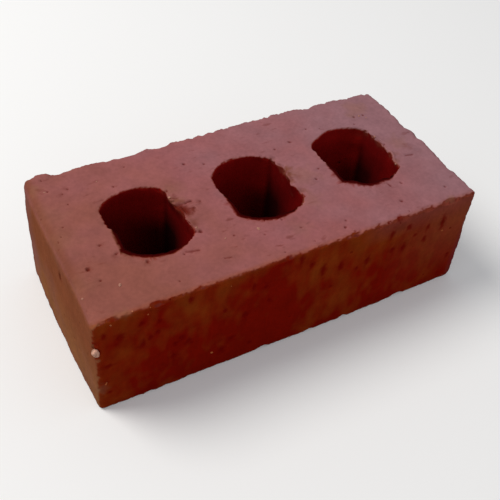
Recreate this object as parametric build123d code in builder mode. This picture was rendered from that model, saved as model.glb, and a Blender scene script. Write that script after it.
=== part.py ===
from build123d import *
import os
from math import sqrt

# A fired clay brick with three cores, extruded as a column and cut to height by a wire.
# The origin is the middle of the lower bed. +X runs along the length, +Y towards the
# back and +Z up through the cores. Sizes are in millimetres.
length = 194.0
width = 92.0
height = 57.0

# Cores: circles with two flats, in a row along the middle of the bed
core_count = 3
core_pitch = 55.6
core_diameter = 44.5
core_width = 34.0
core_corner_radius = 3.0
core_rim_chamfer = 0.6

# Upright arrises, rounded by the corners of the die and by wear
front_left_radius = 2.0
front_right_radius = 2.5
back_right_radius = 4.5
back_left_radius = 2.0

# Arrises round the two beds: the wire leaves them nearly sharp, and wear rounds the ends
bed_arris_radius = 0.9
left_top_radius = 4.5
right_top_radius = 2.5
right_foot_radius = 2.5

# Scoops: this deep below the arris or rim, and reaching this far to each side
chip_depth = 1.2
chip_reach = 4.0
corner_chip_depth = 2.4
corner_chip_reach = 7.0
tear_depth = 1.6
tear_reach = 4.6

# Corners by their sides: -1 is left, front or bottom, and 1 is right, back or top
front_left_foot, front_left_top = (-1, -1, -1), (-1, -1, 1)
front_right_foot, front_right_top = (1, -1, -1), (1, -1, 1)
back_left_foot, back_left_top = (-1, 1, -1), (-1, 1, 1)
back_right_foot, back_right_top = (1, 1, -1), (1, 1, 1)

# Each chip's place along its arris, its depth and its reach
front_top_shares = [
    (0.045, 0.7, 0.8),
    (0.135, 1.0, 1.0),
    (0.450, 0.8, 0.7),
    (0.534, 0.6, 0.9),
    (0.624, 0.9, 0.8),
    (0.908, 1.1, 1.9),
]
back_top_shares = [
    (0.090, 1.1, 0.7),
    (0.260, 0.9, 3.0),
    (0.356, 1.0, 1.6),
    (0.794, 0.9, 0.9),
]
right_top_shares = [(0.23, 0.8, 1.0), (0.52, 1.0, 1.0), (0.76, 0.9, 0.8)]
front_foot_shares = [(0.41, 0.9, 1.0), (0.54, 0.7, 0.8), (0.64, 0.8, 0.8), (0.815, 1.0, 1.3)]
front_left_shares = [(0.22, 0.7, 0.6), (0.38, 0.8, 0.7)]
back_foot_shares = [(0.31, 1.0, 1.2), (0.72, 0.8, 0.9)]

# Each tear's place along its core's right flat, from the middle, its depth and its reach
tear_shares = [(0.09, 0.8, 0.8), (0.15, 1.2, 1.1), (0.12, 1.0, 0.9)]


def corner(side_x, side_y, side_z):
    return Vector(side_x * length / 2, side_y * width / 2, height if side_z > 0 else 0)


def scoop(place, outward, depth, reach):
    """Cuts a sphere's cap out of the brick, whose middle lies this deep below the place."""
    radius = (reach**2 + depth**2) / (2 * depth)
    with Locations(place + outward.normalized() * (radius - depth)):
        Sphere(radius, mode=Mode.SUBTRACT)


def chips(start, end, shares, worn_radius):
    """Chips the arris between two corners, from the round that wear has given it."""
    worn_away = worn_radius * (sqrt(2) - 1)
    for along_share, depth_share, reach_share in shares:
        place = corner(*start) + (corner(*end) - corner(*start)) * along_share
        outward = Vector(*start) + Vector(*end)
        scoop(place, outward, worn_away + chip_depth * depth_share, chip_reach * reach_share)


with BuildPart() as brick:
    # The column's outline, as the die gives it
    with BuildSketch() as outline:
        Rectangle(length, width)
        for side_x, side_y, radius in [
            (-1, -1, front_left_radius),
            (1, -1, front_right_radius),
            (1, 1, back_right_radius),
            (-1, 1, back_left_radius),
        ]:
            place = (side_x * length / 2, side_y * width / 2)
            fillet(outline.vertices().sort_by_distance(place)[0], radius)
    extrude(amount=height)
    beds = brick.faces().filter_by(Axis.Z)
    fillet([edge for bed in beds for edge in bed.outer_wire().edges()], bed_arris_radius)

    # The cores, with their rims
    with BuildSketch(mode=Mode.PRIVATE) as core:
        Circle(core_diameter / 2)
        Rectangle(core_width, core_diameter, mode=Mode.INTERSECT)
        fillet(core.vertices(), core_corner_radius)
    with BuildSketch():
        with GridLocations(core_pitch, 0, core_count, 1):
            add(core.sketch)
    extrude(amount=height, mode=Mode.SUBTRACT)
    beds = brick.faces().filter_by(Axis.Z)
    rims = [edge for bed in beds for wire in bed.inner_wires() for edge in wire.edges()]
    chamfer(rims, core_rim_chamfer)

    # The ends, worn rounder than the long arrises
    with BuildSketch(Plane.XZ) as side_view:
        with Locations((0, height / 2)):
            Rectangle(length, height)
        for side_x, level, radius in [
            (-1, height, left_top_radius),
            (1, height, right_top_radius),
            (1, 0, right_foot_radius),
        ]:
            place = (side_x * length / 2, level)
            fillet(side_view.vertices().sort_by_distance(place)[0], radius)
    extrude(amount=width, both=True, mode=Mode.INTERSECT)

    # Chips along the arrises, and one off a corner
    chips(front_left_top, front_right_top, front_top_shares, bed_arris_radius)
    chips(back_left_top, back_right_top, back_top_shares, bed_arris_radius)
    chips(front_right_top, back_right_top, right_top_shares, right_top_radius)
    chips(front_left_foot, front_right_foot, front_foot_shares, bed_arris_radius)
    chips(front_left_top, front_left_foot, front_left_shares, front_left_radius)
    chips(back_left_foot, back_right_foot, back_foot_shares, bed_arris_radius)
    foot = corner(*front_right_foot)
    scoop(foot, Vector(*front_right_foot), corner_chip_depth, corner_chip_reach)

    # The wire tore each core's right rim as it left the hole
    for number, (along_share, depth_share, reach_share) in zip(range(core_count), tear_shares):
        core_x = core_pitch * (number - (core_count - 1) / 2)
        rim = Vector(core_x + core_width / 2, core_diameter * along_share, height)
        scoop(rim, Vector(-1, 0, 1), tear_depth * depth_share, tear_reach * reach_share)

brick.part.label = "brick"
os.makedirs("parts", exist_ok=True)
export_step(brick.part, "parts/brick.step")
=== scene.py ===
import math
import random

import bmesh
import bpy
import numpy as np
from mathutils import Matrix, Quaternion, Vector, kdtree, noise


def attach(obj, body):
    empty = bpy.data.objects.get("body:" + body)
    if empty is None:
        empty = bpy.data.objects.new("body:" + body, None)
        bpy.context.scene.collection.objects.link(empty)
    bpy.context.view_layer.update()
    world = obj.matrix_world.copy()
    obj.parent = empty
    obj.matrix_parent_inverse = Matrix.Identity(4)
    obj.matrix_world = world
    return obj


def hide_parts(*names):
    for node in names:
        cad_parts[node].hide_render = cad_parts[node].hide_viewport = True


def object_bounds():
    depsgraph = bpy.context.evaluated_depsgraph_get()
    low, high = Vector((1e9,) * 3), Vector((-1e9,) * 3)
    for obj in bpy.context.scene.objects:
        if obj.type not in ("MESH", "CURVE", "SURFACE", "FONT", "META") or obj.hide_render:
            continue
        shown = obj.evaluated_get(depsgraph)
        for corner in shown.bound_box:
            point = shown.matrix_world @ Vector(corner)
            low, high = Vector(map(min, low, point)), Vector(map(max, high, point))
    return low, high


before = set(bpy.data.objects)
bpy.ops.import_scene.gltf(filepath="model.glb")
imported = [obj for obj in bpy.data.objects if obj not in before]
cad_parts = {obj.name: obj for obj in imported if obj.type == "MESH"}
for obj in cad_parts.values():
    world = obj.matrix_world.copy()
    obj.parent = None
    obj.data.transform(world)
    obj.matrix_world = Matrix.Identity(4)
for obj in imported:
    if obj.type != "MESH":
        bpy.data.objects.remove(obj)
cadLow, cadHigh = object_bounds()
mm = 0.001
halfLength, halfWidth, brickHeight = cadHigh.x / mm, cadHigh.y / mm, cadHigh.z / mm
halfSizes = np.array((halfLength, halfWidth, brickHeight / 2))
brickMiddle = np.array((0.0, 0.0, brickHeight / 2))
print("frame loaded, brick of", halfLength * 2, halfWidth * 2, brickHeight, "mm")

# The photograph's view, in millimetres and pixels
photo = {
    "size": 500.0,  # pixels across its square frame
    "eye": Vector((-152.5, -227.5, 284.8)),
    "aim": Vector((4.4, 6.4, 8.1)),
    "roll": 6.58,  # degrees
    "lens": 55.45,
    "sensor": 36.0,
    "clip": (0.01, 20.0),  # metres
}


def cameraTurn():
    track = (photo["aim"] - photo["eye"]).to_track_quat("-Z", "Y")
    return track @ Quaternion((0, 0, 1), math.radians(photo["roll"]))


def addCamera():
    data = bpy.data.cameras.new("photoCamera")
    data.lens, data.sensor_width = photo["lens"], photo["sensor"]
    data.clip_start, data.clip_end = photo["clip"]
    camera = bpy.data.objects.new("photoCamera", data)
    camera.location = photo["eye"] * mm
    camera.rotation_mode = "QUATERNION"
    camera.rotation_quaternion = cameraTurn()
    bpy.context.scene.collection.objects.link(camera)
    bpy.context.scene.camera = camera


# Each face that the photograph shows: its own axis and level, and the axis that runs up it
faces = {
    "bed": {"axis": 2, "level": brickHeight, "up": 1},
    "stretcher": {"axis": 1, "level": -halfWidth, "up": 2},
    "header": {"axis": 0, "level": -halfLength, "up": 2},
}


def spotAt(pixel, face):
    middle = photo["size"] / 2
    focal = photo["lens"] / photo["sensor"] * photo["size"]
    ray = Vector(((pixel[0] - middle) / focal, (middle - pixel[1]) / focal, -1.0))
    ray.rotate(cameraTurn())
    axis, level = faces[face]["axis"], faces[face]["level"]
    return photo["eye"] + ray * ((level - photo["eye"][axis]) / ray[axis])


# Floor and light
studio = {
    "floorSize": 6.0,
    "floorColour": (0.86, 0.86, 0.85),
    "floorGlow": 0.12,  # seen by the camera alone
    "floorBounce": (0.30, 0.29, 0.28),  # what the floor throws back at the brick
    "worldStrength": 0.42,
    "worldColour": (0.93, 0.95, 1.0),
    "keyPlace": (-0.75, 0.55, 1.25),
    "keySize": 0.9,
    "keyPower": 16.0,
    "keyColour": (1.0, 0.97, 0.93),
}


def newMaterial(name):
    material = bpy.data.materials.new(name)
    material.use_nodes = True
    material.node_tree.nodes.clear()
    return material, material.node_tree.nodes, material.node_tree.links


def addPiece(name, form):
    # Turns a bmesh into an object of the scene
    mesh = bpy.data.meshes.new(name)
    form.to_mesh(mesh)
    form.free()
    piece = bpy.data.objects.new(name, mesh)
    bpy.context.scene.collection.objects.link(piece)
    return piece


def addFloor():
    form = bmesh.new()
    bmesh.ops.create_grid(form, x_segments=1, y_segments=1, size=studio["floorSize"] / 2)
    floor = addPiece("floor", form)
    material, nodes, links = newMaterial("floorPale")
    seen = nodes.new("ShaderNodeBsdfDiffuse")
    seen.inputs["Color"].default_value = (*studio["floorColour"], 1)
    glow = nodes.new("ShaderNodeEmission")
    glow.inputs["Strength"].default_value = studio["floorGlow"]
    pale = nodes.new("ShaderNodeAddShader")
    bounced = nodes.new("ShaderNodeBsdfDiffuse")
    bounced.inputs["Color"].default_value = (*studio["floorBounce"], 1)
    path = nodes.new("ShaderNodeLightPath")
    mix = nodes.new("ShaderNodeMixShader")
    output = nodes.new("ShaderNodeOutputMaterial")
    links.new(path.outputs["Is Camera Ray"], mix.inputs[0])
    links.new(bounced.outputs[0], mix.inputs[1])
    links.new(seen.outputs[0], pale.inputs[0])
    links.new(glow.outputs[0], pale.inputs[1])
    links.new(pale.outputs[0], mix.inputs[2])
    links.new(mix.outputs[0], output.inputs["Surface"])
    floor.data.materials.append(material)


def addLights():
    world = bpy.data.worlds.new("studioWorld")
    world.use_nodes = True
    background = world.node_tree.nodes["Background"]
    background.inputs["Color"].default_value = (*studio["worldColour"], 1)
    background.inputs["Strength"].default_value = studio["worldStrength"]
    bpy.context.scene.world = world
    data = bpy.data.lights.new("keyLight", "AREA")
    data.shape, data.size = "DISK", studio["keySize"]
    data.energy, data.color = studio["keyPower"], studio["keyColour"]
    key = bpy.data.objects.new("keyLight", data)
    key.location = studio["keyPlace"]
    key.rotation_mode = "QUATERNION"
    key.rotation_quaternion = (-Vector(studio["keyPlace"])).to_track_quat("-Z", "Y")
    bpy.context.scene.collection.objects.link(key)


addCamera()
addFloor()
addLights()
bpy.context.scene.view_settings.view_transform = "Standard"
print("camera, floor and light placed")

# The cores, as they pass through the bed, in millimetres
cores = {
    "middles": np.array((-55.6, 0.0, 55.6)),
    "width": 34.0,
    "diameter": 44.5,
    "margin": 1.0,  # how far outside a core a place still counts as in it
}

# Each pattern's seed, and the step from one kind of arris to the next
seeds = {
    "chips": 3, "chipStep": 4, "rims": 21, "crumbs": 31, "rimCrumbs": 35, "pits": 31, "trails": 41,
    "waves": 50, "dieMarks": 61, "wireMarks": 62, "stains": 71,
}
seedShift = np.array((17.31, 5.93, 29.17))  # how far one seed shifts a pattern, in its own lengths


def field(points, lengths, seed):
    shifted = points / lengths + seedShift * seed
    return np.array([noise.noise(place) for place in shifted.tolist()])


def smoothStep(low, high, value):
    share = np.clip((value - low) / (high - low), 0, 1)
    return share * share * (3 - 2 * share)


def growTree(points):
    tree = kdtree.KDTree(len(points))
    for index, place in enumerate(points.tolist()):
        tree.insert(place, index)
    tree.balance()
    return tree


def rowsNear(tree, spot, reach):
    return np.array([index for place, index, distance in tree.find_range(spot, reach)], dtype=int)


def coreDistance(points):
    # How far each point lies outside the nearest core, its place from that core, and which it is
    fromMiddles = points[:, :1] - cores["middles"]
    nearest = np.abs(fromMiddles).argmin(axis=1)
    x, y = fromMiddles[np.arange(len(points)), nearest], points[:, 1]
    flat = np.abs(x) - cores["width"] / 2
    return np.maximum(flat, np.hypot(x, y) - cores["diameter"] / 2), x, y, nearest


def isSeen(place, margin):
    # Whether a place is within the margin of a face that the photograph shows, or in a core
    onFace = place[2] > brickHeight - margin or (place[:2] < margin - halfSizes[:2]).any()
    return onFace or coreDistance(place[None])[0][0] < cores["margin"]


def readPoints(mesh):
    # Every point's place in millimetres, and its normal
    places, normals = np.zeros(len(mesh.vertices) * 3), np.zeros(len(mesh.vertices) * 3)
    mesh.vertices.foreach_get("co", places)
    mesh.vertices.foreach_get("normal", normals)
    return places.reshape(-1, 3) / mm, normals.reshape(-1, 3)


def readShare(mesh, name):
    values = np.zeros(len(mesh.vertices), dtype=np.float32)
    mesh.attributes[name].data.foreach_get("value", values)
    return values


def writeShare(mesh, name, values):
    attribute = mesh.attributes.get(name) or mesh.attributes.new(name, "FLOAT", "POINT")
    attribute.data.foreach_set("value", values.astype(np.float32))


def applyModifiers(piece):
    graph = bpy.context.evaluated_depsgraph_get()
    mesh = bpy.data.meshes.new_from_object(piece.evaluated_get(graph))
    piece.modifiers.clear()
    piece.data = mesh


def smoothFaces(piece):
    piece.data.polygons.foreach_set("use_smooth", [True] * len(piece.data.polygons))


# Ragged arrises: how far each kind is eaten, and the lengths, depths and thresholds
arrises = {
    "reach": 3.0,
    "most": 1.2,  # how strong the wear may grow past the arris
    "falloff": 1.5,
    "longTop": 0.8,
    "headerTop": 0.6,
    "foot": 0.32,
    "upright": 0.5,
    "ragged": 0.8,
    "chips": ((7.0, 1.7, 0.14), (2.8, 1.1, 0.08), (1.3, 0.7, 0.05)),
    "crumbs": ((2.8, 0.75), (1.2, 0.40)),  # length and height of the raggedness in and out
}


def eaten(points, seed):
    depth = np.zeros(len(points))
    for order, (length, deep, threshold) in enumerate(arrises["chips"]):
        depth += deep * np.clip(field(points, length, seed + order) - threshold, 0, None)
    return depth


def crumbled(points, seed):
    height = np.zeros(len(points))
    for order, (length, rise) in enumerate(arrises["crumbs"]):
        height += rise * field(points, length, seed + order)
    return height


def wearArrises(points):
    push = np.zeros_like(points)
    side = np.sign(points - brickMiddle)
    inside = (halfSizes - np.abs(points - brickMiddle)) / arrises["reach"]
    near = np.clip(1 - inside, 0, arrises["most"]) ** arrises["falloff"]
    top = side[:, 2] > 0
    bites = {
        (0, 2): np.where(top, arrises["headerTop"], arrises["foot"]),
        (1, 2): np.where(top, arrises["longTop"], arrises["foot"]),
        (0, 1): np.full(len(points), arrises["upright"]),
    }
    for order, ((a, b), bite) in enumerate(bites.items()):
        shared = near[:, a] * near[:, b]
        rows = np.nonzero(shared > 0)[0]
        chipped = eaten(points[rows], seeds["chips"] + seeds["chipStep"] * order)
        ragged = arrises["ragged"] * crumbled(points[rows], seeds["crumbs"])
        deep = (chipped + ragged) * shared[rows] * bite[rows]
        push[rows, a] -= side[rows, a] * deep
        push[rows, b] -= side[rows, b] * deep
    return push


# The rounded lip that hangs into each core at its front left, in millimetres
lip = {
    "towards": (-0.55, -0.83),
    "turn": (0.35, 0.80),  # how squarely the rim lies that way
    "plain": (-0.10, 0.25),  # and where its rim takes no painted light and shade
    "inward": 2.2,
    "drop": 0.5,
    "calm": 0.5,  # how much less of it is eaten
    "width": 1.9,
    "depth": 4.0,
    "ragged": 0.45,
    "coloured": 0.35,  # the share of the lip from which its painted shade is full
}

# The cores' rims: how far they are eaten, with a number for each core where they differ
rims = {
    "reach": 2.4,
    "falloff": 1.2,
    "eaten": 0.7,
    "torn": np.array((0.8, 0.8, 0.24)),  # how much more of the right rim is eaten
    "tornFrom": (8.0, 16.0),  # from and to, to the right of the core's middle
    "smooth": np.array((0.4, 0.4, 0.7)),  # how much less of the back rim is eaten
    "smoothFrom": (8.0, 18.0),  # the same towards the back
    "fadeAcross": 7.0,
    "fadeDown": 9.0,
}

# Where the wire pushed a rim in or tore it out: core, degrees round it from +X, spread, shift
rimPlaces = [
    (0, 32, 13, -2.6), (0, 90, 25, -0.7), (0, 150, 40, -1.4), (0, 210, 25, -1.5),
    (0, 312, 25, -0.9), (0, 12, 8, -1.3), (0, 338, 8, -0.9), (0, 281, 14, 0.8),
    (0, 300, 12, 0.5), (0, 186, 12, -0.7), (1, 20, 13, 0.5), (1, 343, 9, -1.4),
    (1, 322, 9, -0.5), (1, 140, 22, -0.9), (1, 156, 12, 0.6), (1, 200, 40, -0.4),
    (2, 34, 30, 1.4), (2, 54, 12, 1.2), (2, 80, 20, 0.9), (2, 114, 10, -0.8),
    (2, 146, 13, -1.4), (2, 168, 12, -0.6), (2, 195, 20, -0.9), (2, 228, 12, -1.0),
    (2, 234, 10, -1.3), (2, 262, 40, -1.3), (2, 276, 8, -0.9), (2, 302, 10, -1.6),
    (2, 325, 9, -1.2), (2, 346, 8, 1.0), (2, 4, 12, 1.0),
]


def lipShare(x, y, turn="turn"):
    away = np.hypot(x, y) + 0.001  # never nought
    turned = (x * lip["towards"][0] + y * lip["towards"][1]) / away
    return smoothStep(*lip[turn], turned)


def wearRims(points):
    push = np.zeros_like(points)
    outside, x, y, nearest = coreDistance(points)
    level = brickMiddle[2] - np.abs(points[:, 2] - brickMiddle[2])
    across = np.clip(1 - np.abs(outside) / rims["reach"], 0, 1)
    shared = (across * np.clip(1 - level / rims["reach"], 0, 1)) ** rims["falloff"]
    rows = np.nonzero(shared > 0)[0]
    smoother = rims["smooth"][nearest[rows]] * smoothStep(*rims["smoothFrom"], y[rows])
    torn = 1 + rims["torn"][nearest[rows]] * smoothStep(*rims["tornFrom"], x[rows]) - smoother
    ragged = eaten(points[rows], seeds["rims"]) + crumbled(points[rows], seeds["rimCrumbs"])
    deep = ragged * shared[rows] * rims["eaten"] * torn
    hangs = lipShare(x[rows], y[rows]) * (points[rows, 2] > brickMiddle[2])
    deep *= 1 - lip["calm"] * hangs
    away = np.hypot(x[rows], y[rows])
    push[rows, 0] += deep * x[rows] / away
    push[rows, 1] += deep * y[rows] / away
    push[rows, 2] -= deep * np.sign(points[rows, 2] - brickMiddle[2])
    push[rows, 2] -= lip["drop"] * hangs * shared[rows]
    return push


def shiftRims(points):
    push = np.zeros_like(points)
    outside, x, y, nearest = coreDistance(points)
    fade = (1 - smoothStep(0, rims["fadeAcross"], np.abs(outside))) * (
        1 - smoothStep(0, rims["fadeDown"], brickHeight - points[:, 2]))
    rows = np.nonzero(fade > 0)[0]
    x, y, nearest = x[rows], y[rows], nearest[rows]
    angle, away = np.degrees(np.arctan2(y, x)), np.hypot(x, y)
    shift = np.zeros(len(rows))
    for core, middle, spread, amount in rimPlaces:
        turn = (angle - middle + 180) % 360 - 180
        shift += np.where(nearest == core, amount * np.exp(-(turn / spread) ** 2), 0)
    shift -= lip["inward"] * lipShare(x, y)
    shift *= fade[rows]
    push[rows, 0], push[rows, 1] = shift * x / away, shift * y / away
    return push


# Soft bends of the whole brick: place, reach and push, in millimetres
bends = [
    ((-97, -8, 0), 34, (-1.0, 0.0, 0.0)), ((-97, 46, 0), 20, (0.9, 0.0, 0.0)),
    ((-97, 46, 57), 14, (1.4, 0.0, 0.0)), ((-97, 46, 30), 20, (0.8, 0.0, 0.0)),
    ((-97, -46, 53), 15, (-1.1, 0.0, 0.0)), ((-70.8, -46, 57), 4.5, (0.0, -0.5, 0.45)),
    ((24, -46, 57), 4.5, (0.0, -0.5, 0.45)), ((51, -46, 57), 2.6, (0.0, 1.5, -0.9)),
    ((97, -46, 57), 12, (-1.6, 0.2, 0.1)), ((30, 46, 57), 42, (0.0, 0.4, 0.3)),
    ((18, -46, 0), 42, (0.0, -0.8, 0.0)), ((-92, -46, 0), 12, (0.0, 0.6, 0.0)),
    ((97, -46, 38), 11, (-2.0, 0.0, 0.0)), ((97, -46, 15), 8, (-0.5, 0.0, 0.0)),
    ((97, -22, 57), 14, (-1.3, 0.0, -0.2)), ((97, 46, 57), 16, (-1.0, -0.7, -0.2)),
    ((97, 14, 57), 5, (-1.4, 0.0, -0.4)), ((80, 46, 57), 6, (0.0, -0.6, -0.4)),
    ((54, 46, 57), 4, (0.0, -0.8, -0.5)), ((40, 46, 57), 20, (0.0, 0.4, 0.3)),
]


def bend(points):
    push = np.zeros_like(points)
    for place, reach, amount in bends:
        away = np.linalg.norm(points - np.array(place), axis=1)
        push += np.outer(np.exp(-(away / reach) ** 2), np.array(amount))
    return push


# How the pits of each face differ: how far their stain reaches past them and how dark it is,
# and how much taller and deeper they are than their own numbers
pitKinds = {
    "bed": {"halo": 1.0, "dark": 1.0, "tall": 1.0, "deep": 1.0},
    "stretcher": {"halo": 1.9, "dark": 0.95, "tall": 1.3, "deep": 0.3},
    "header": {"halo": 1.2, "dark": 0.9, "tall": 1.0, "deep": 0.8},
}

# Pits: pixel, then radius and depth in millimetres, and how many times taller than wide where
# they aren't round
pits = {
    "bed": [
        ((39, 182), 0.7, 0.7), ((46, 192), 0.7, 0.6), ((67, 189), 0.7, 0.6), ((62, 194), 0.6, 0.5),
        ((68, 204), 0.6, 0.5), ((63, 227), 0.6, 0.5), ((58, 242), 0.6, 0.5), ((88, 269), 1.3, 0.9),
        ((99.5, 245), 0.8, 0.7), ((114, 256), 0.8, 0.7), ((101, 280), 0.7, 0.6),
        ((148, 263), 1.0, 0.8), ((185, 254), 0.8, 0.8), ((180, 281), 0.7, 0.6),
        ((124, 167), 0.6, 0.5), ((113, 186), 0.6, 0.6), ((204, 164), 0.8, 0.7),
        ((275, 150), 0.8, 0.7), ((306, 130), 0.8, 0.6), ((316.7, 179), 0.8, 1.0),
        ((201.5, 231), 0.9, 0.6), ((354, 117), 0.8, 0.7), ((363, 115), 0.7, 0.6),
        ((402, 183), 0.8, 0.7), ((402, 201), 1.2, 0.6), ((410, 154), 0.9, 0.7, 0.5),
        ((446, 186), 0.8, 0.7), ((346, 220), 0.8, 0.7), ((168.3, 188.7), 0.5, 0.5),
        ((191, 200.4), 0.6, 0.8), ((200.2, 200.7), 0.7, 0.6, 0.7), ((195.4, 207.3), 0.6, 0.8, 0.8),
        ((193, 212), 0.5, 0.3), ((289.5, 257), 0.6, 0.9), ((323.2, 246), 0.6, 0.9),
        ((355, 230.5), 0.7, 0.9), ((390, 222.6), 0.8, 0.9), ((381, 225.6), 0.5, 0.6),
        ((376.8, 227), 0.5, 0.6), ((283, 221), 0.8, 0.7), ((265, 234), 0.7, 0.6),
        ((318, 169), 0.6, 0.3), ((285.5, 252), 0.6, 0.6), ((315, 240.5), 0.6, 0.6),
        ((345.5, 226.5), 0.8, 0.8), ((197, 231), 0.9, 0.8), ((382, 145), 0.9, 0.8),
        ((57, 249), 1.6, 0.4, 0.4),
    ],
    "stretcher": [
        ((106, 336), 1.0, 0.7), ((121, 338), 1.6, 1.1, 1.5), ((115, 320), 0.8, 0.5),
        ((142, 324), 1.2, 0.7), ((143, 345), 1.3, 0.9, 1.2), ((151, 338), 1.0, 0.6),
        ((109, 366), 1.9, 0.7, 0.4), ((111, 392), 1.0, 0.6, 0.7), ((160, 321), 0.9, 0.6),
        ((158, 332), 1.0, 0.6), ((182, 338), 1.3, 0.7), ((191, 300), 1.0, 0.8, 1.4),
        ((189, 341), 1.4, 0.7), ((174, 356), 1.6, 0.8), ((176, 344), 1.0, 0.6),
        ((230, 339), 1.4, 0.9), ((221, 350), 1.5, 0.8), ((249, 342), 1.0, 0.6),
        ((245, 315), 1.3, 0.8, 1.3), ((225, 311), 1.0, 0.6), ((254, 287), 0.9, 0.6, 1.6),
        ((266, 287), 1.0, 0.7, 1.2), ((269, 300), 0.9, 0.5, 1.2), ((302, 260), 1.0, 0.7, 2.0),
        ((312, 265), 1.1, 0.8), ((323, 270), 1.2, 0.9, 2.0), ((340, 266), 1.2, 0.8, 1.8),
        ((356, 268), 0.9, 0.6, 1.2), ((367, 260), 1.3, 0.8, 1.3), ((392, 250), 1.4, 0.8),
        ((392, 235), 1.1, 0.7, 1.6), ((403, 247), 1.3, 0.8, 1.2), ((409, 227), 1.3, 0.8),
        ((402, 217), 1.6, 1.1, 1.2), ((415, 235), 0.9, 0.6), ((424, 239), 1.1, 0.7, 1.3),
        ((428, 227), 1.0, 0.6, 1.4), ((443, 222), 1.2, 1.1, 2.6), ((447, 254), 1.0, 0.7),
    ],
    "header": [
        ((36, 215), 0.8, 0.7), ((60, 276), 0.8, 0.8, 2.4), ((46, 283), 0.8, 0.7),
        ((76, 338), 0.9, 0.8), ((80, 323), 0.7, 0.6), ((88.7, 353.7), 0.6, 0.5),
    ],
}

# How ragged a pit's edge is, and in what lengths, how soft it is, and how far round its middle
# it is looked for, in radii
pitEdge = {"ragged": 0.6, "length": 1.7, "soft": 0.8, "search": 1.7}
scatteredPits = {
    "count": 300,
    "seed": 7,
    "radius": (0.5, 1.1),
    "depth": (0.35, 0.85),
    "margin": 1.0,
    "onSeenFaces": 0.2,  # the share that is kept on the faces in view
    "ragged": 0.8,
    "length": 1.5,
    "search": 1.6,
}


def digPits(points, tree):
    # How far each point is pushed, and how far into a pit it lies
    push, share = np.zeros_like(points), np.zeros(len(points))
    for name, spots in pits.items():
        face, kind = faces[name], pitKinds[name]
        outward = math.copysign(1, face["level"])
        for pixel, radius, depth, *taller in spots:
            spot, tall = spotAt(pixel, name), kind["tall"] * (taller[0] if taller else 1)
            rows = rowsNear(tree, spot, radius * max(tall, 1) * kind["halo"] * pitEdge["search"])
            offset = (points[rows] - np.array(spot)) / radius
            offset[:, face["up"]] /= tall
            ragged = 1 + pitEdge["ragged"] * field(points[rows], pitEdge["length"], seeds["pits"])
            away = np.linalg.norm(offset, axis=1) * ragged
            dug = smoothStep(0, pitEdge["soft"], 1 - away)
            push[rows, face["axis"]] -= outward * depth * kind["deep"] * dug
            stained = kind["dark"] * smoothStep(0, pitEdge["soft"], 1 - away / kind["halo"])
            share[rows] = np.maximum(share[rows], stained)
    return push, share


def scatterPits(points, tree):
    height, share = np.zeros(len(points)), np.zeros(len(points))
    draw = random.Random(scatteredPits["seed"])
    for number in range(scatteredPits["count"]):
        spot, radius = points[draw.randrange(len(points))], draw.uniform(*scatteredPits["radius"])
        depth, kept = draw.uniform(*scatteredPits["depth"]), draw.random()
        if isSeen(spot, scatteredPits["margin"]) and kept > scatteredPits["onSeenFaces"]:
            continue
        rows = rowsNear(tree, spot, radius * scatteredPits["search"])
        ragged = scatteredPits["ragged"] * field(points[rows], scatteredPits["length"], seeds["pits"])
        away = np.linalg.norm(points[rows] - spot, axis=1) / radius
        dug = smoothStep(0, pitEdge["soft"], np.clip(1 - away * (1 + ragged), 0, 1))
        height[rows] -= depth * dug
        share[rows] = np.maximum(share[rows], dug)
    return height, share


# Lines dragged beside the rims: pixels from and to, width, and height or depth
trails = [
    ((170, 198), (184, 201), 1.9, 0.40), ((178, 203.5), (187, 203), 0.5, -0.50),
    ((186, 202.5), (191, 200.5), 0.6, -0.60), ((172, 195), (179, 197), 0.5, -0.40),
    ((191, 205), (199, 203.5), 0.7, 0.35), ((186, 208.5), (195, 207.3), 0.45, -0.40),
    ((178, 206), (189, 211), 2.8, -0.95), ((193, 229), (200, 229), 1.0, 0.40),
    ((194, 232), (202, 232), 0.7, -0.50), ((390, 152), (397, 163), 1.6, 0.40),
    ((374, 137), (380, 141), 1.0, 0.30), ((406, 155), (413, 154), 0.7, -0.50),
    ((187, 252), (199, 250), 0.8, -0.30), ((225, 258), (232, 257), 0.7, -0.30),
]
trailEdge = {"ragged": 0.7, "length": 1.8, "below": 1.5}


def dragTrails(points, normals):
    height, groove = np.zeros(len(points)), np.zeros(len(points))
    top = np.nonzero(points[:, 2] > brickHeight - trailEdge["below"])[0]
    for start, end, width, rise in trails:
        a, b = np.array(spotAt(start, "bed")), np.array(spotAt(end, "bed"))
        along = (points[top] - a) @ (b - a) / ((b - a) @ (b - a))
        foot = a + np.clip(along, 0, 1)[:, None] * (b - a)
        away = np.hypot(*(points[top] - foot)[:, :2].T)
        wander = 1 + trailEdge["ragged"] * field(points[top], trailEdge["length"], seeds["trails"])
        fade = smoothStep(0, 1, 1 - away / width * wander)
        height[top] += rise * fade
        if rise < 0:
            groove[top] = np.maximum(groove[top], fade)
    return height * np.clip(normals[:, 2], 0, 1), groove


# The burr at the left end of the back arris, in millimetres along X
burr = {"from": -112.0, "crest": -86.0, "to": -82.5, "rise": 1.4, "reach": 4.5}


def raiseBurr(points):
    push = np.zeros_like(points)
    x = points[:, 0]
    ramp = smoothStep(burr["from"], burr["crest"], x) * (1 - smoothStep(burr["crest"], burr["to"], x))
    near = np.clip(1 - (halfWidth - points[:, 1]) / burr["reach"], 0, 1)
    near *= np.clip(1 - (brickHeight - points[:, 2]) / burr["reach"], 0, 1)
    push[:, 1] = push[:, 2] = burr["rise"] / math.sqrt(2) * ramp * near
    return push


# The pale stone on the front left upright, with the hollow that it sits in
stone = {
    "middle": np.array((-97.1, -45.5, 40.0)),
    "sizes": (1.55, 1.5, 2.0),
    "hollow": (3.6, 0.5, 0.6),  # reach, depth and how soft its edge is
    "lumps": (1.3, 0.28),  # length and height
    "clear": 4.5,  # how far round it the upright keeps its colours
}


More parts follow.
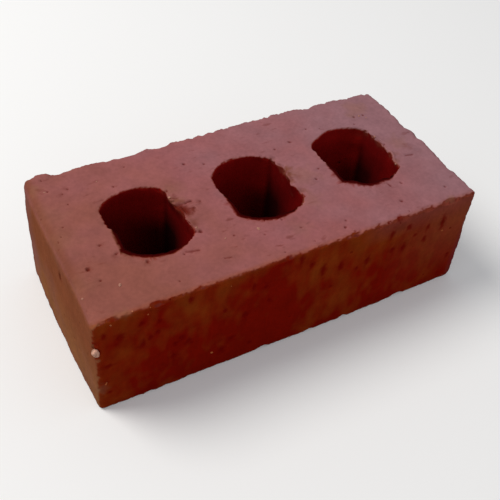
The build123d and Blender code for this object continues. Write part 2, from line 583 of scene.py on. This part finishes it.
def digHollow(points):
    reach, depth, soft = stone["hollow"]
    away = np.linalg.norm(points - stone["middle"], axis=1)
    share = smoothStep(0, soft, 1 - away / reach)
    return np.outer(share, np.array((depth, depth, 0.0))), share


# Where the colours change, in millimetres. The first four say how far one finish reaches round
# its arris over another, and how softly
reaches = {
    "bedOverStretcher": (-0.5, 0.3),
    "bedOverHeader": (2.0, 5.0),
    "bedIntoCore": (-0.4, 0.3),
    "headerRoundStretcher": (-1.0, 0.6),
    "arris": 2.2,
    "rim": 1.6,
    "core": 3.0,
    "coreDepth": 40.0,
    "coreFoot": 2.0,  # how much faster a core lightens towards its foot
    "rightWall": (14.8, 16.8),  # from and to, across the core
    # Where worn edges and rims take painted light and shade
    "edgeZone": 3.5,
    "rimZone": (1.3, 0.3),  # how far it reaches, and how soft it is
    "rimLedgeShade": (3.5, 4.5, 0.4),  # across and down, and how soft it is
    "leftEdgeShade": (1.25, 5.0),  # its strength at the arris, and how far it reaches
    "leftEdgeShadeBack": (-40, -14),  # from and to, along Y
    "leftEdgeShadeOver": (-4.0, 0.5),  # how much nearer the header's face than the bed
    "frontTop": (1.2, 2.6),
    "chipLevel": (-1.1, -0.5),  # from and to, above the bed
}

# How squarely a worn edge faces the light, or looks up, before it changes colour
turns = {
    "litArris": (0.30, 0.70),
    "litRim": (0.0, 0.6),
    "litUpright": (0.08, 0.36),
    "litChip": (0.15, 0.45),
    "litRimLedgeShade": (0.10, 0.40),
    "palesUp": (0.2, 0.5),
    "rimLedgeShadeUp": (0.15, 0.45),
}

# Soft stains by face: pixel, reach and strength
stains = {
    "ochre": {
        "bed": [
            ((172, 190), 4.5, 0.30), ((182, 199), 2.2, 0.3), ((391, 153), 2.5, 0.1),
            ((396, 162), 2.4, 0.25), ((126, 313), 2.5, 0.5), ((118, 316), 2.0, 0.4),
            ((60, 240), 9.0, 0.25), ((48, 215), 8.0, 0.20), ((78, 285), 8.0, 0.20),
            ((452, 199), 3.0, 0.5), ((198, 229), 1.4, 0.4), ((354, 109), 7.0, 0.40),
            ((302, 176), 8.0, 0.30), ((312, 200), 6.0, 0.25), ((398, 142), 6.0, 0.30),
            ((35, 190), 4.0, 0.40), ((300, 228), 6.0, 0.20), ((180, 188), 5.0, 0.15),
        ],
        "stretcher": [
            ((101, 391), 4.0, 0.45),
        ],
    },
    "brown": {
        "bed": [
            ((170, 198.5), 1.8, 0.9), ((175, 200.5), 2.2, 1.0), ((181, 201.5), 2.0, 0.8),
            ((190, 213), 2.4, 0.5), ((194, 222), 3.0, 0.6), ((287, 169.5), 2.6, 1.0),
            ((289.5, 175), 2.3, 1.0), ((292.5, 181), 2.0, 0.7), ((303, 190), 2.2, 0.5),
            ((397, 160), 2.4, 0.4), ((394, 154), 2.4, 0.35),
        ],
    },
    "scar": {
        "bed": [
            ((183.5, 209.5), 4.2, 1.15), ((178.5, 207.5), 3.0, 1.15), ((188, 213), 2.6, 0.5),
            ((190, 201.5), 1.3, 0.7), ((286, 172), 2.4, 0.5), ((289, 178), 2.0, 0.4),
            ((299, 169), 1.7, 0.22), ((194, 223.5), 2.6, 0.35), ((298.5, 177), 2.0, 0.28),
            ((174, 196), 1.2, 0.5), ((88, 269), 1.7, 0.7), ((198, 202), 1.8, 0.4),
            ((114, 256), 1.5, 0.4), ((101, 245), 1.5, 0.4), ((40, 190), 2.2, 0.4),
            ((66, 189), 1.8, 0.35), ((61, 195), 1.6, 0.3), ((382, 145), 1.5, 0.4),
            ((408, 146), 3.0, 0.25), ((148, 263), 1.5, 0.5), ((197, 251), 2.0, 0.25),
        ],
        "stretcher": [
            ((402, 216), 2.2, 0.6), ((443, 222), 2.0, 0.5), ((401, 226), 4.0, 0.35),
        ],
        "header": [
            ((60, 277), 3.0, 0.5),
        ],
    },
}
stainEdge = {"full": 1.2, "ragged": 0.8, "length": 0.6, "search": 1.3}  # in reaches


def stainShare(points, tree, kind):
    share = np.zeros(len(points))
    spots = [
        (spotAt(pixel, face), *sizes)
        for face, marks in stains[kind].items() for pixel, *sizes in marks
    ]
    for spot, reach, strength in spots:
        rows = rowsNear(tree, spot, reach * stainEdge["search"])
        ragged = stainEdge["ragged"] * field(points[rows], reach * stainEdge["length"], seeds["stains"])
        away = np.linalg.norm(points[rows] - np.array(spot), axis=1) / reach
        soft = strength * smoothStep(0, 1, stainEdge["full"] - away * (1 + ragged))
        share[rows] = np.maximum(share[rows], np.minimum(soft, 1))
    return share


def finishShares(points):
    # How much of each finish every point has, by its place on the unworn brick
    depth, below = halfSizes - np.abs(points - brickMiddle), brickHeight - points[:, 2]
    atTop, atLeft = points[:, 2] > brickHeight / 2, (points[:, 0] < 0) & (points[:, 1] < 0)
    outside, fromCore, alongCore = coreDistance(points)[:3]
    inCore, edges = outside < reaches["core"], np.sort(depth, axis=1)

    def share(margin, reach, blend):
        return smoothStep(-blend, blend, margin + reach)

    def nearArris(name, a, b):
        strength, reach = reaches[name]
        return smoothStep(0, 1, strength - np.hypot(depth[:, a], depth[:, b]) / reach) * atTop

    onLip = lipShare(fromCore, alongCore) * atTop
    rows = np.nonzero(inCore & (depth[:, 2] < reaches["core"]) & (onLip > 0))[0]
    lipWidth = lip["width"] * onLip
    lipWidth[rows] += lip["ragged"] * crumbled(points[rows], seeds["rimCrumbs"]) * onLip[rows]
    intoCore = share(np.maximum(outside, 0) - depth[:, 2] - lipWidth, *reaches["bedIntoCore"])
    wall = (1 - intoCore) * inCore
    overStretcher = share(depth[:, 1] - depth[:, 2], *reaches["bedOverStretcher"])
    overHeader = share(depth[:, 0] - depth[:, 2], *reaches["bedOverHeader"])
    header = share(depth[:, 1] - depth[:, 0], *reaches["headerRoundStretcher"])
    arris = smoothStep(0, 1, 1 - edges[:, 1] / reaches["arris"])
    rim = smoothStep(0, 1, 1 - np.maximum(np.abs(outside), edges[:, 0]) / reaches["rim"])
    # A darker band along the top left arris, mostly on the header side: painted shade where the rounded
    # edge turns from the light
    leftEdgeShade = nearArris("leftEdgeShade", 0, 2) * (points[:, 0] < 0)
    leftEdgeShade *= smoothStep(*reaches["leftEdgeShadeBack"], points[:, 1])
    leftEdgeShade *= smoothStep(*reaches["leftEdgeShadeOver"], depth[:, 0] - depth[:, 2])
    zone, (rimReach, rimSoft) = reaches["edgeZone"], reaches["rimZone"]
    nearRim = smoothStep(0, rimSoft, 1 - np.maximum(np.abs(outside), depth[:, 2]) / rimReach)
    clear = np.linalg.norm(points - stone["middle"], axis=1) > stone["clear"]
    return {
        "bedShare": overStretcher * overHeader * (1 - wall),
        "wallShare": wall,
        "rightWallShare": inCore * smoothStep(*reaches["rightWall"], fromCore),
        # The lip and its edge carry painted shade
        "lipShare": smoothStep(0, lip["coloured"], onLip) * inCore
        * smoothStep(0, 1, 1 - depth[:, 2] / lip["depth"]),
        "lipEdgeShade": smoothStep(0, 1, 1 - np.maximum(outside, 0) / lip["width"]),
        "acrossCore": np.clip(0.5 + fromCore / cores["width"], 0, 1),
        "coreDepth": np.clip(
            np.minimum(below, reaches["coreFoot"] * points[:, 2]) / reaches["coreDepth"], 0, 1),
        "headerShare": header,
        "frontShare": (1 - header) * (points[:, 1] < 0),
        "wornShare": np.maximum(arris, rim),
        "leftEdgeShadeShare": leftEdgeShade,
        "frontTopShare": nearArris("frontTop", 1, 2) * (points[:, 1] < 0),
        "edgeZone": (edges[:, 1] < zone) & (depth[:, 2] < zone) & atTop,
        "rimZone": nearRim * atTop * (1 - lipShare(fromCore, alongCore, "plain")),
        "uprightZone": (np.maximum(depth[:, 0], depth[:, 1]) < zone) & atLeft & clear,
    }


def paintByKeyLight(mesh):
    # Painted light and shade: each worn edge and rim takes a colour by how squarely it faces the key
    # light. It gets the pale bed colour where lit and the core wall's colour where shaded, and on the
    # front left upright the header colour where lit and the front colour where shaded
    points, normals = readPoints(mesh)
    tree, up = growTree(points), normals[:, 2]
    facing = normals @ np.array(Vector(studio["keyPlace"]).normalized())
    bed, wall = readShare(mesh, "bedShare"), readShare(mesh, "wallShare")
    edge, rim = readShare(mesh, "edgeZone"), readShare(mesh, "rimZone")
    atFront = edge * (points[:, 1] < reaches["edgeZone"] - halfWidth)
    high = smoothStep(*reaches["chipLevel"], points[:, 2] - brickHeight)
    towardsLight = smoothStep(*turns["litArris"], facing)
    lit, shaded = edge * towardsLight * (1 - atFront * (1 - high)), 1 - towardsLight
    pale = smoothStep(*turns["palesUp"], up) * np.maximum(
        lit, rim * smoothStep(*turns["litRim"], facing))
    bed = np.maximum(bed * (1 - shaded * np.maximum(atFront, rim)), pale)
    wall = np.maximum(wall * (1 - pale), shaded * rim * (1 - pale))
    # Lit chips on the front arris are painted darker: painted shade over the light they catch
    chip = atFront * smoothStep(*turns["litChip"], facing) * (1 - bed)
    # Lit ledges in the core rims are painted darker: painted shade over the light they catch
    across, down, soft = reaches["rimLedgeShade"]
    outside, below = coreDistance(points)[0], brickHeight - points[:, 2]
    rimLedgeShade = smoothStep(0, soft, 1 - np.maximum(np.abs(outside) / across, below / down)) * (1 - bed)
    rimLedgeShade *= smoothStep(*turns["rimLedgeShadeUp"], up) * smoothStep(*turns["litRimLedgeShade"], facing)
    upright, header = readShare(mesh, "uprightZone"), readShare(mesh, "headerShare")
    header += upright * (smoothStep(*turns["litUpright"], facing) - header)
    front = readShare(mesh, "frontShare")
    front += upright * (1 - header - front)
    shares = {
        "bedShare": bed, "wallShare": wall, "litChipShadeShare": chip, "rimLedgeShadeShare": rimLedgeShade,
        "headerShare": header, "frontShare": front,
        **{kind + "Share": stainShare(points, tree, kind) for kind in stains},
    }
    for name, values in shares.items():
        writeShare(mesh, name, values)
    for name in ("edgeZone", "rimZone", "uprightZone"):
        mesh.attributes.remove(mesh.attributes[name])


# The fired surface: lengths and heights of its relief, in millimetres
clay = {
    "weld": 0.001,
    "voxel": 0.5,
    "mostTriangles": 190000,
    "waves": ((42.0, 0.20), (13.0, 0.13), (5.0, 0.10), (2.2, 0.07)),
    "dieMarks": ((1.7, 1.7, 24.0), 0.04),  # drawn up the faces that the die formed
    "wireMarks": ((22.0, 1.9, 22.0), 0.05),  # drawn along the beds that the wire cut
    "sunk": 0.05,  # how far the whole surface lies inside the solid
    # How dark the grooves and the stone's hollow are painted: painted shade
    "grooveShade": 0.8,
    "hollowShade": 0.5,
    "fineReach": 2.2,
    "fineFactor": 60.0,
    "fineSteps": 10,
}


def fineWeights(points, pitShare):
    # 0 where the relief is fine and the mesh stays dense, 1 where it may be thinned
    depth = np.sort(halfSizes - np.abs(points - brickMiddle), axis=1)
    arris = smoothStep(0, clay["fineReach"], depth[:, 1])
    outside = np.abs(coreDistance(points)[0])
    rim = smoothStep(0, clay["fineReach"], np.maximum(outside, depth[:, 0]))
    return np.minimum(np.minimum(arris, rim), 1 - pitShare)


def shapeClay(mesh):
    # Marks and moves every point of the dense mesh, and returns how far each may be thinned
    points, normals = readPoints(mesh)
    count, tree = len(points), growTree(points)

    height = np.full(count, -clay["sunk"])
    for order, (length, rise) in enumerate(clay["waves"]):
        height += rise * field(points, length, seeds["waves"] + order)
    flat = np.abs(normals[:, 2])
    for name, share in (("dieMarks", 1 - flat), ("wireMarks", flat)):
        lengths, rise = clay[name]
        height += rise * share * field(points, np.array(lengths), seeds[name])

    pitPush, pitShare = digPits(points, tree)
    pitHeight, scatteredShare = scatterPits(points, tree)
    trailHeight, groove = dragTrails(points, normals)
    hollowPush, hollowShare = digHollow(points)
    moved = points + normals * (height + pitHeight + trailHeight)[:, None] + pitPush + hollowPush
    moved += wearArrises(points) + wearRims(points) + shiftRims(points) + raiseBurr(points) + bend(points)
    moved[:, 2] = np.maximum(moved[:, 2], 0)
    mesh.vertices.foreach_set("co", (moved * mm).ravel())
    mesh.update()
    # Pits get a darker stain round them and painted shade in them; grooves and the stone's hollow get
    # painted shade
    dark = np.maximum.reduce((
        pitShare, scatteredShare, clay["grooveShade"] * groove, clay["hollowShade"] * hollowShare))
    for name, values in {**finishShares(points), "pitShare": dark}.items():
        writeShare(mesh, name, values)
    return fineWeights(points, dark)


def makeBrickBody():
    form = bmesh.new()
    form.from_mesh(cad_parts["brick"].data)
    bmesh.ops.remove_doubles(form, verts=form.verts, dist=clay["weld"] * mm)
    body = addPiece("brickBody", form)
    remesh = body.modifiers.new("voxels", "REMESH")
    remesh.mode, remesh.voxel_size = "VOXEL", clay["voxel"] * mm
    applyModifiers(body)
    print("brick remeshed,", len(body.data.vertices), "points")

    weights = shapeClay(body.data)
    print("relief shaped")
    group = body.vertex_groups.new(name="thinned")
    steps = clay["fineSteps"]
    for step in range(steps + 1):
        rows = np.nonzero(np.rint(weights * steps) == step)[0]
        group.add(rows.tolist(), step / steps, "REPLACE")
    thin = body.modifiers.new("thin", "DECIMATE")
    thin.ratio = clay["mostTriangles"] / (2 * len(body.data.polygons))
    thin.vertex_group, thin.vertex_group_factor = group.name, clay["fineFactor"]
    applyModifiers(body)
    body.vertex_groups.clear()
    paintByKeyLight(body.data)
    smoothFaces(body)
    print("brick body,", len(body.data.polygons), "faces")
    return body


# Fired clay: linear colours, and its roughness
finish = {
    "bedLeft": (0.280, 0.092, 0.069),
    "bedMiddle": (0.324, 0.110, 0.111),
    "bedRight": (0.306, 0.145, 0.160),
    # The front face's colours, deeper and redder than the bed's: partly the clay's own, partly painted
    # shade
    "frontRed": (0.288, 0.007, 0.001),
    "frontOchre": (0.346, 0.050, 0.006),
    "frontEnd": (0.395, 0.090, 0.036),
    "frontBloom": (0.345, 0.070, 0.058),
    "header": (0.275, 0.081, 0.034),
    "headerLow": (0.315, 0.122, 0.048),
    "headerBack": (0.270, 0.105, 0.090),
    # Painted shade along the rounded top left arris
    "leftEdgeShade": (0.225, 0.070, 0.044),
    "frontArris": (0.320, 0.052, 0.014),
    # Painted shade for the lit chips of the front arris
    "frontChipShade": (0.155, 0.022, 0.015),
    "bedArris": (0.300, 0.080, 0.046),
    # The core walls' tones are painted light and shade: darker deep inside, in the far right corners,
    # down the right walls and towards the back, and lighter deep in the far cores
    "wall": (0.262, 0.005, 0.004),
    "farWall": (0.310, 0.006, 0.005),
    "upperFarWallShade": (0.135, 0.003, 0.002),
    "rightWall": (0.185, 0.003, 0.003),
    "rightWallBackShade": (0.118, 0.002, 0.002),
    "rightFarWallBackShade": (0.105, 0.002, 0.002),
    "deepWallShade": (0.210, 0.005, 0.004),
    "deepFarWallLight": (0.530, 0.010, 0.007),
    "deepCornerShade": (0.017, 0.001, 0.001),
    "deepFarCornerShade": (0.175, 0.005, 0.003),
    "deepRightWallShade": (0.012, 0.001, 0.001),
    "deepFarRightWallShade": (0.030, 0.001, 0.001),
    # Painted shade for the lit ledges in the core rims
    "rimLedgeShade": (0.090, 0.010, 0.006),
    # Each lip is painted almost black red, darkest at its edge: painted shade on the near rim of each
    # core
    "lip": (0.052, 0.0005, 0.0005),
    "lipEdgeShade": (0.014, 0.0002, 0.0002),
    # Pits: a darker stain, with painted shade inside them
    "pit": (0.120, 0.006, 0.002),
    "frontPit": (0.215, 0.002, 0.001),
    "ochre": (0.290, 0.130, 0.070),
    "brown": (0.200, 0.066, 0.038),
    "scar": (0.138, 0.021, 0.011),
    "worn": (0.310, 0.120, 0.085),
    # Purplish towards the right end of the front face
    "purpleRightEnd": (0.130, 0.035, 0.075),
    "roughness": (0.84, 0.98),
    "gloss": 0.02,
    "bump": (0.32, 0.35),  # strength, and height in millimetres
}

# Where the colours change: axis, from and to in millimetres, and the shares at both, 0 to 1 where
# none are given
bands = {
    "length": ("x", -halfLength, halfLength),
    "bedWidth": ("y", -halfWidth, halfWidth, -0.08, 0.20),
    "frontArrisWarm": ("x", -70, 60, 0.9, 0.4),
    "ochreTop": ("z", 28, brickHeight, -0.05, 0.60),
    "ochreLeft": ("x", -halfLength, -35, 0.80, -0.25),
    "redLeft": ("x", -halfLength, -55, -0.6, 0.0),
    "redLeftUp": ("z", 22, 45),
    "ochreMiddle": ("x", -20, 22, 0.0, 0.75),
    "redRight": ("x", 28, 44, 0.0, -0.45),
    "frontEnd": ("x", 45, 88, 0.0, 0.75),
    "frontEndUp": ("z", 6, 44),
    "purpleRightEnd": ("x", 91, halfLength, 0.0, 0.5),
    "frontBloom": ("x", 28, 42, 0.0, 0.6),
    "frontBloomUp": ("z", 45, 55),
    "headerBack": ("y", 25, halfWidth, 0.0, 0.8),
    "headerLow": ("z", 34, 8),
    "farCores": ("x", -50, halfLength),
    "leftCoreDeep": ("x", -64, -50, 0.35, 0.0),
    "rightWallBackShade": ("y", -14, -1),
    "rightWallLight": ("y", 10.5, 13.5, 0.0, 0.30),
    "rightWallDark": ("y", -4, 6),
    "mineralPaintedLight": ("y", 0.2 - halfWidth, 1.2 - halfWidth),
}

# The same for the cores' painted light and shade, in shares of their width, their depth and the way to
# the far core
coreBands = {
    "corner": (0.45, 0.88),
    "upperAcross": (0.62, 0.86),
    "upperDown": (0.42, 0.16),
    "deep": (0.42, 0.66),
    "darkDown": (0.22, 0.55),
    "lightNear": (0.6, 0.1),
}

# How strongly each is laid over the clay
strengths = {
    "frontArris": 0.5,
    "deepRightWallShade": 0.97,
    "ochre": 0.8,
    "brown": 0.85,
    "scar": 0.88,
    "pit": 0.85,
    "coarseRelief": 0.6,
    "fineRelief": 0.4,
}

# The noise patterns: length in millimetres, detail, and how far each axis is stretched
patterns = {
    "cloud": (26.0, 2.0),
    "blotch": (6.0, 1.0, 1, 1, 1.6),
    "smudge": (2.6, 3.0, 2.4, 1, 1),
    "smudgedPatch": (30.0, 2.0),
    "wornPatch": (3.5, 3.0),
    "grain": (1.8, 4.0),
    "streak": (1.6, 3.0, 1, 1, 9),
    "tone": (11.0, 4.0),
    "coarseRelief": (1.3, 4.0),
    "fineRelief": (0.45, 3.0),
    "sheen": (2.0, 3.0),
    "mottle": (1.2, 4.0),
    "mineralRelief": (0.4, 3.0),
}


def plug(links, socket, value):
    # Gives a socket a link, a colour or a number. A name is a colour of the finish
    value = finish[value] if isinstance(value, str) else value
    if isinstance(value, bpy.types.NodeSocket):
        links.new(value, socket)
    elif isinstance(value, tuple):
        socket.default_value = (*value, 1)
    else:
        socket.default_value = value


class Shade:
    # Short ways to make and join a material's nodes
    def __init__(self, name):
        self.material, self.nodes, self.links = newMaterial(name)
        self.place = self.nodes.new("ShaderNodeTexCoord").outputs["Object"]
        axes = self.nodes.new("ShaderNodeSeparateXYZ")
        self.links.new(self.place, axes.inputs[0])
        self.axes = dict(zip("xyz", axes.outputs))

    def share(self, name):
        node = self.nodes.new("ShaderNodeAttribute")
        node.attribute_name = name
        return node.outputs["Fac"]

    def noise(self, name):
        length, detail, *stretch = patterns[name]
        mapping = self.nodes.new("ShaderNodeMapping")
        self.links.new(self.place, mapping.inputs["Vector"])
        scale = [1 / (length * mm * side) for side in stretch or (1, 1, 1)]
        mapping.inputs["Scale"].default_value = scale
        node = self.nodes.new("ShaderNodeTexNoise")
        node.inputs["Scale"].default_value = 1.0
        node.inputs["Detail"].default_value = detail
        self.links.new(mapping.outputs["Vector"], node.inputs["Vector"])
        return node.outputs["Fac"]

    def remap(self, value, low, high, toLow=0.0, toHigh=1.0):
        node = self.nodes.new("ShaderNodeMapRange")
        self.links.new(value, node.inputs["Value"])
        for socket, number in zip(node.inputs[1:5], (low, high, toLow, toHigh)):
            socket.default_value = number
        return node.outputs["Result"]

    def band(self, name):
        axis, start, end, *ends = bands[name]
        return self.remap(self.axes[axis], start * mm, end * mm, *ends)

    def maths(self, operation, a, b=0.0):
        node = self.nodes.new("ShaderNodeMath")
        node.operation = operation
        plug(self.links, node.inputs[0], a)
        plug(self.links, node.inputs[1], b)
        return node.outputs[0]

    def times(self, a, b):
        return self.maths("MULTIPLY", a, b)

    def total(self, *values):
        added = values[0]
        for value in values[1:]:
            added = self.maths("ADD", added, value)
        return added

    def mix(self, share, a, b, blend="MIX"):
        node = self.nodes.new("ShaderNodeMix")
        node.data_type, node.blend_type = "RGBA", blend
        node.clamp_factor = True
        plug(self.links, node.inputs[0], share)
        plug(self.links, node.inputs[6], a)
        plug(self.links, node.inputs[7], b)
        return node.outputs[2]

    def surface(self, colour, roughness, gloss, height, bumpSizes):
        shader = self.nodes.new("ShaderNodeBsdfPrincipled")
        shader.inputs["Specular IOR Level"].default_value = gloss
        bump = self.nodes.new("ShaderNodeBump")
        bump.inputs["Strength"].default_value = bumpSizes[0]
        bump.inputs["Distance"].default_value = bumpSizes[1] * mm
        output = self.nodes.new("ShaderNodeOutputMaterial")
        self.links.new(height, bump.inputs["Height"])
        plug(self.links, shader.inputs["Base Color"], colour)
        plug(self.links, shader.inputs["Roughness"], roughness)
        self.links.new(bump.outputs["Normal"], shader.inputs["Normal"])
        self.links.new(shader.outputs["BSDF"], output.inputs["Surface"])
        return self.material


def bedClay(s, cloud):
    # Paler and greyer along the brick, with faint smudges, and warmer at the front arris
    along = s.total(s.band("length"), s.band("bedWidth"), s.remap(cloud, 0.3, 0.7, -0.15, 0.15))
    bed = s.mix(s.remap(along, 0.05, 0.5), "bedLeft", "bedMiddle")
    bed = s.mix(s.remap(along, 0.5, 1.0), bed, "bedRight")
    smudge = s.remap(s.noise("smudge"), 0.60, 0.72, 0.0, 0.45)
    smudge = s.times(smudge, s.remap(s.noise("smudgedPatch"), 0.45, 0.6))
    bed = s.mix(smudge, bed, "scar")
    return s.mix(s.times(s.share("frontTopShare"), s.band("frontArrisWarm")), bed, "bedArris")


def frontClay(s, cloud):
    # Ochre above and at the left, redder below, pinker at the right end. The whole face is deeper and
    # redder than the bed: partly its own colour, partly painted shade
    ochre = s.total(
        s.band("ochreTop"),
        s.band("ochreLeft"),
        s.times(s.band("redLeft"), s.band("redLeftUp")),
        s.band("ochreMiddle"),
        s.band("redRight"),
        s.remap(cloud, 0.35, 0.65, -0.30, 0.30),
        s.remap(s.noise("blotch"), 0.3, 0.7, -0.32, 0.32),
    )
    front = s.mix(ochre, "frontRed", "frontOchre")
    front = s.mix(s.times(s.band("frontEnd"), s.band("frontEndUp")), front, "frontEnd")
    # Purplish towards the right end
    front = s.mix(s.band("purpleRightEnd"), front, "purpleRightEnd")
    front = s.mix(s.times(s.band("frontBloom"), s.band("frontBloomUp")), front, "frontBloom")
    worn = s.times(s.share("wornShare"), strengths["frontArris"])
    front = s.mix(worn, front, "frontArris")
    # Lit chips, painted darker as shade
    return s.mix(s.share("litChipShadeShare"), front, "frontChipShade")


def sideClay(s, cloud):
    # The headers and the back, pinker towards the back left upright, and the front
    pinker = s.total(s.band("headerBack"), s.remap(cloud, 0.4, 0.7, -0.2, 0.3))
    side = s.mix(s.band("headerLow"), "header", "headerLow")
    side = s.mix(pinker, side, "headerBack")
    return s.mix(s.share("frontShare"), side, frontClay(s, cloud))


def rightWallShading(s, far, down):
    # Painted shade: darker towards the back and deep inside, with a strip of painted light beside the
    # corner
    back = s.mix(far, "rightWallBackShade", "rightFarWallBackShade")
    right = s.mix(s.band("rightWallBackShade"), "rightWall", back)
    paintedLightStrip = s.times(s.band("rightWallLight"), s.remap(far, *coreBands["lightNear"]))
    right = s.mix(paintedLightStrip, right, "wall")
    paintedShadeDeep = s.times(s.remap(down, *coreBands["darkDown"]), s.band("rightWallDark"))
    dark = s.mix(far, "deepRightWallShade", "deepFarRightWallShade")
    return s.mix(s.times(paintedShadeDeep, strengths["deepRightWallShade"]), right, dark)


def coreClayAndShade(s):
    # Redder than outside, with painted light and shade: darkest deep inside, where the far and right
    # walls meet, lighter deep in the far cores, lit ledges painted darker and each lip painted dark
    down, far, across = s.share("coreDepth"), s.band("farCores"), s.share("acrossCore")
    deep = s.mix(far, "deepWallShade", "deepFarWallLight")
    corner = s.mix(s.band("length"), "deepCornerShade", "deepFarCornerShade")
    deep = s.mix(s.remap(across, *coreBands["corner"]), deep, corner)
    wall = s.mix(far, "wall", "farWall")
    upper = s.times(
        s.remap(across, *coreBands["upperAcross"]), s.remap(down, *coreBands["upperDown"]))
    wall = s.mix(upper, wall, s.mix(far, "wall", "upperFarWallShade"))
    below = s.total(down, s.band("leftCoreDeep"))
    wall = s.mix(s.remap(below, *coreBands["deep"]), wall, deep)
    wall = s.mix(s.share("rightWallShare"), wall, rightWallShading(s, far, down))
    wall = s.mix(s.share("rimLedgeShadeShare"), wall, "rimLedgeShade")
    lipShade = s.mix(s.share("lipEdgeShade"), "lip", "lipEdgeShade")
    return s.mix(s.share("lipShare"), wall, lipShade)


def firedClay():
    s = Shade("firedClay")
    cloud, onBed = s.noise("cloud"), s.share("bedShare")
    colour = s.mix(onBed, sideClay(s, cloud), bedClay(s, cloud))
    # The darker band along the top left arris, as painted shade
    colour = s.mix(s.share("leftEdgeShadeShare"), colour, "leftEdgeShade")
    worn = s.times(s.share("wornShare"), s.remap(s.noise("wornPatch"), 0.45, 0.65, 0.0, 0.4))
    colour = s.mix(s.times(worn, onBed), colour, "worn")
    colour = s.mix(s.share("wallShare"), colour, coreClayAndShade(s))
    for kind in stains:
        colour = s.mix(s.times(s.share(kind + "Share"), strengths[kind]), colour, kind)

    # Grain over all, and streaks up the sides
    offBed = s.remap(onBed, 0.0, 1.0, 1.0, 0.0)
    grain = s.remap(s.noise("grain"), 0.3, 0.7, -0.07, 0.07)
    streak = s.times(s.remap(s.noise("streak"), 0.3, 0.7, -0.04, 0.04), offBed)
    tone = s.total(s.remap(s.noise("tone"), 0.3, 0.7, 0.92, 1.08), grain, streak)
    colour = s.mix(1.0, colour, tone, "MULTIPLY")
    pit = s.mix(s.times(s.share("frontShare"), offBed), "pit", "frontPit")
    colour = s.mix(s.times(s.share("pitShare"), strengths["pit"]), colour, pit)
    relief = [s.times(s.noise(name), strengths[name]) for name in ("coarseRelief", "fineRelief")]
    roughness = s.remap(s.noise("sheen"), 0.3, 0.7, *finish["roughness"])
    return s.surface(colour, roughness, finish["gloss"], s.total(*relief), finish["bump"])


body = makeBrickBody()
body.data.materials.clear()
body.data.materials.append(firedClay())
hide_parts("brick")
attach(body, "root")
print("brick body finished")

# Pale grains of lime and grog in the clay: pixel, face and size in millimetres
paleGrains = [
    ((97, 182), "bed", 0.5), ((119, 285), "bed", 1.2), ((79, 297), "bed", 0.7),
    ((225, 238), "bed", 0.6), ((259, 228), "bed", 1.0), ((359, 115.5), "bed", 0.8),
    ((366, 117), "bed", 0.5), ((169, 197.5), "bed", 0.9), ((374, 137), "bed", 0.7),
    ((394, 165), "bed", 0.7), ((196, 228), "bed", 0.9), ((43, 192), "bed", 0.6),
    ((110, 326), "stretcher", 0.6), ((106, 384), "stretcher", 0.8), ((133, 311), "stretcher", 0.4),
    ((147, 315), "stretcher", 0.5), ((212, 351), "stretcher", 0.8), ((144, 395), "stretcher", 0.5),
    ((442, 231), "stretcher", 0.7), ((232, 287), "stretcher", 0.4), ((152, 308), "bed", 0.4),
]
scatteredGrains = {"count": 70, "sizes": (0.35, 0.9), "margin": 4.0, "seed": 11}
grainForm = {"length": (0.9, 1.2), "width": (0.6, 0.9), "height": 0.45, "sunk": 0.1}  # shares of its size

# Linear colours of the grains and of the stone: their own, their mottling, and on the front a brighter
# one, painted light on the face that lies in shade
grainFinish = {"colour": (0.42, 0.20, 0.145), "shade": (0.34, 0.14, 0.10), "front": (0.62, 0.16, 0.05)}
stoneFinish = {"colour": (0.40, 0.23, 0.165), "shade": (0.36, 0.20, 0.140), "front": (0.92, 0.50, 0.36)}
mineral = {"mottle": (0.3, 0.5), "roughness": 0.85, "bump": (0.4, 0.2)}  # as the clay's bump


def growGrain(form, place, normal, size, draw):
    # A squashed lump of a few faces, half sunk in the clay
    sizes = [size * draw.uniform(*grainForm[side]) for side in ("length", "width")]
    squash = Matrix.Diagonal((*sizes, size * grainForm["height"], 1.0))
    turn = Vector(normal).to_track_quat("Z", "Y") @ Quaternion((0, 0, 1), draw.uniform(0, math.tau))
    sunk = Matrix.Translation(Vector(place - normal * size * grainForm["sunk"]))
    lump = Matrix.Scale(mm, 4) @ (sunk @ turn.to_matrix().to_4x4() @ squash)
    bmesh.ops.create_icosphere(form, subdivisions=1, radius=1.0, matrix=lump)


def makePaleGrains(mesh):
    points, normals = readPoints(mesh)
    tree = growTree(points)
    draw = random.Random(scatteredGrains["seed"])
    spots = [(tree.find(spotAt(pixel, face))[1], size) for pixel, face, size in paleGrains]
    while len(spots) < len(paleGrains) + scatteredGrains["count"]:
        index, size = draw.randrange(len(points)), draw.uniform(*scatteredGrains["sizes"])
        if not isSeen(points[index], scatteredGrains["margin"]):
            spots.append((index, size))
    form = bmesh.new()
    for index, size in spots:
        growGrain(form, points[index], normals[index], size, draw)
    return addPiece("paleGrains", form)


def makePaleStone():
    form = bmesh.new()
    bmesh.ops.create_icosphere(form, subdivisions=4, radius=1.0)
    length, rise = stone["lumps"]
    for vert in form.verts:
        lump = 1 + rise * noise.noise(vert.co * stone["sizes"][0] / length)
        vert.co = Vector([side * size * lump for side, size in zip(vert.co, stone["sizes"])])
        vert.co = (vert.co + Vector(stone["middle"])) * mm
    pebble = addPiece("paleStone", form)
    smoothFaces(pebble)
    return pebble


def paleMineral(name, colours):
    s = Shade(name)
    # A brighter colour on the front face: painted light where that face lies in shade
    colour = s.mix(s.band("mineralPaintedLight"), colours["front"], colours["colour"])
    mottled = s.mix(s.remap(s.noise("mottle"), *mineral["mottle"]), colours["shade"], colour)
    return s.surface(
        mottled, mineral["roughness"], finish["gloss"], s.noise("mineralRelief"), mineral["bump"])


grains = makePaleGrains(body.data)
grains.data.materials.append(paleMineral("paleGrain", grainFinish))
pebble = makePaleStone()
pebble.data.materials.append(paleMineral("paleStone", stoneFinish))
for piece in (grains, pebble):
    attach(piece, "root")
print("pale grains and stone placed")
